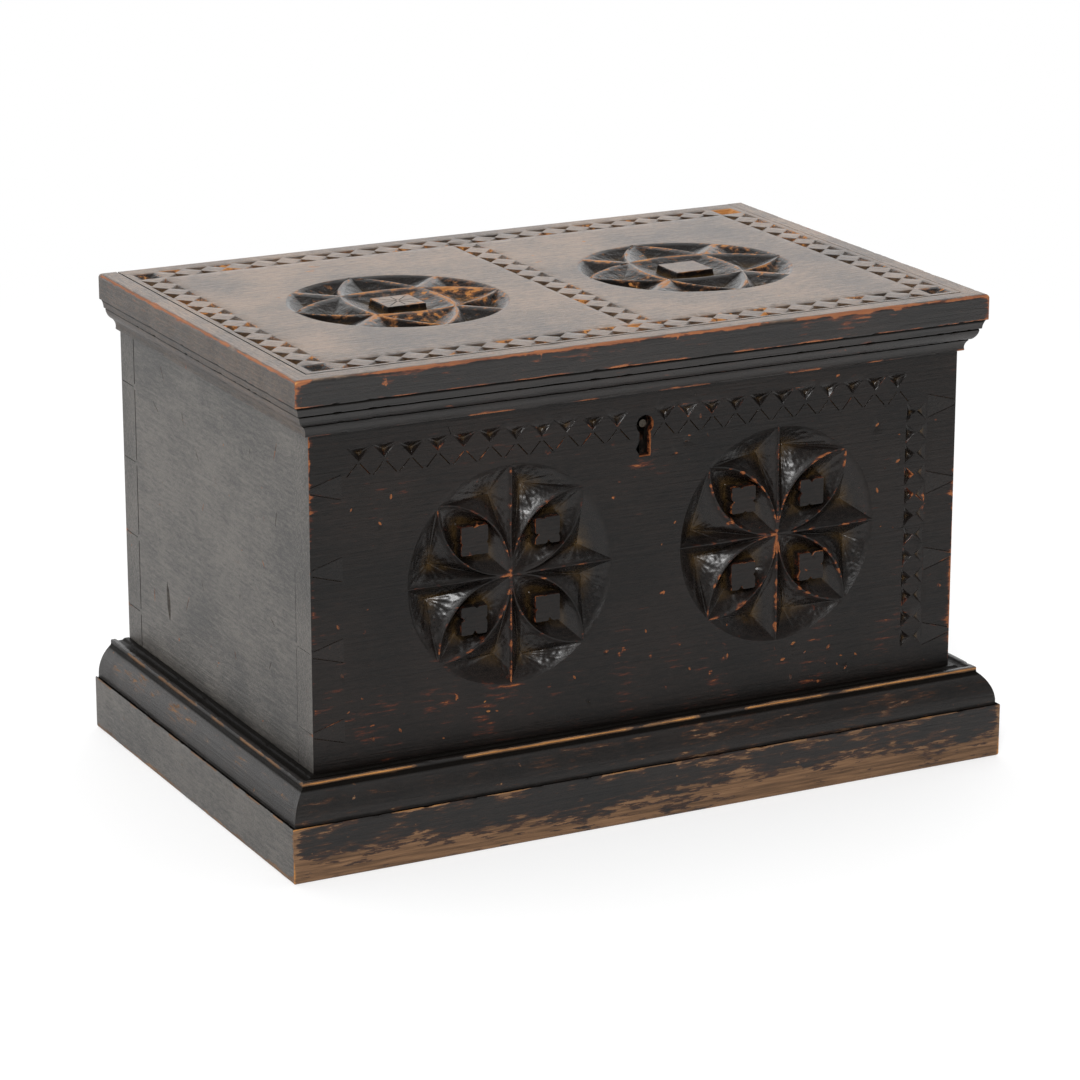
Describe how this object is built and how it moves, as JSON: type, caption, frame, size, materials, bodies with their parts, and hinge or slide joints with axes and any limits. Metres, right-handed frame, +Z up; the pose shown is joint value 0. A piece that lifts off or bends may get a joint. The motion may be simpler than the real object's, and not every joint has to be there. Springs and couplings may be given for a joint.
{
  "type": "carved keepsake box",
  "caption": "Dovetailed wooden box for papers and keepsakes, with chip-carved rosettes, moulded base, a hinged lid with a moulded lip and a box lock behind a bare keyhole.",
  "frame": {"origin": "middle of the whole footprint, on the surface it stands on", "axes": "+Z up, the carved front with the keyhole looks along -Y"},
  "size_m": [0.452, 0.2967, 0.277],
  "materials": {
    "dark_stained_wood": "old dark stain and varnish, worn through along the edges",
    "bare_wood": "planed, unfinished, aged",
    "iron": "hammer-scaled and dark",
    "steel": "filed, dull"
  },
  "bodies": {
    "box": {"front_board": "dark_stained_wood", "left_end_board": "dark_stained_wood", "right_end_board": "dark_stained_wood", "back_board": "dark_stained_wood", "base_moulding_front": "dark_stained_wood", "base_moulding_left": "dark_stained_wood", "base_moulding_right": "dark_stained_wood", "bottom_board": "bare_wood", "hinge_box_leaf_left": "iron", "hinge_box_leaf_right": "iron", "hinge_pin_left": "iron", "hinge_pin_right": "iron", "hinge_box_screws": "iron", "lock_back_plate": "iron", "lock_case": "iron", "lock_screws": "iron", "base_nails": "iron", "bottom_nails": "iron", "lock_drill_pin": "steel", "lock_spring": "steel"},
    "lid": {"lid_board": "dark_stained_wood", "lid_moulding_front": "dark_stained_wood", "lid_moulding_left": "dark_stained_wood", "lid_moulding_right": "dark_stained_wood", "lid_brads": "iron", "hinge_lid_leaf_left": "iron", "hinge_lid_leaf_right": "iron", "hinge_lid_screws": "iron", "lock_staple": "iron", "staple_screws": "iron"},
    "bolt": {"lock_bolt": "steel"}
  },
  "joints": [
    {"name": "lid_hinge", "type": "hinge", "parent": "box", "child": "lid", "pos_m": [0, 0.14515, 0.258], "axis": [-1, 0, 0], "range_deg": [0, 105]},
    {"name": "bolt_slide", "type": "slide", "parent": "box", "child": "bolt", "axis": [1, 0, 0], "range_m": [0, 0.009]}
  ]
}
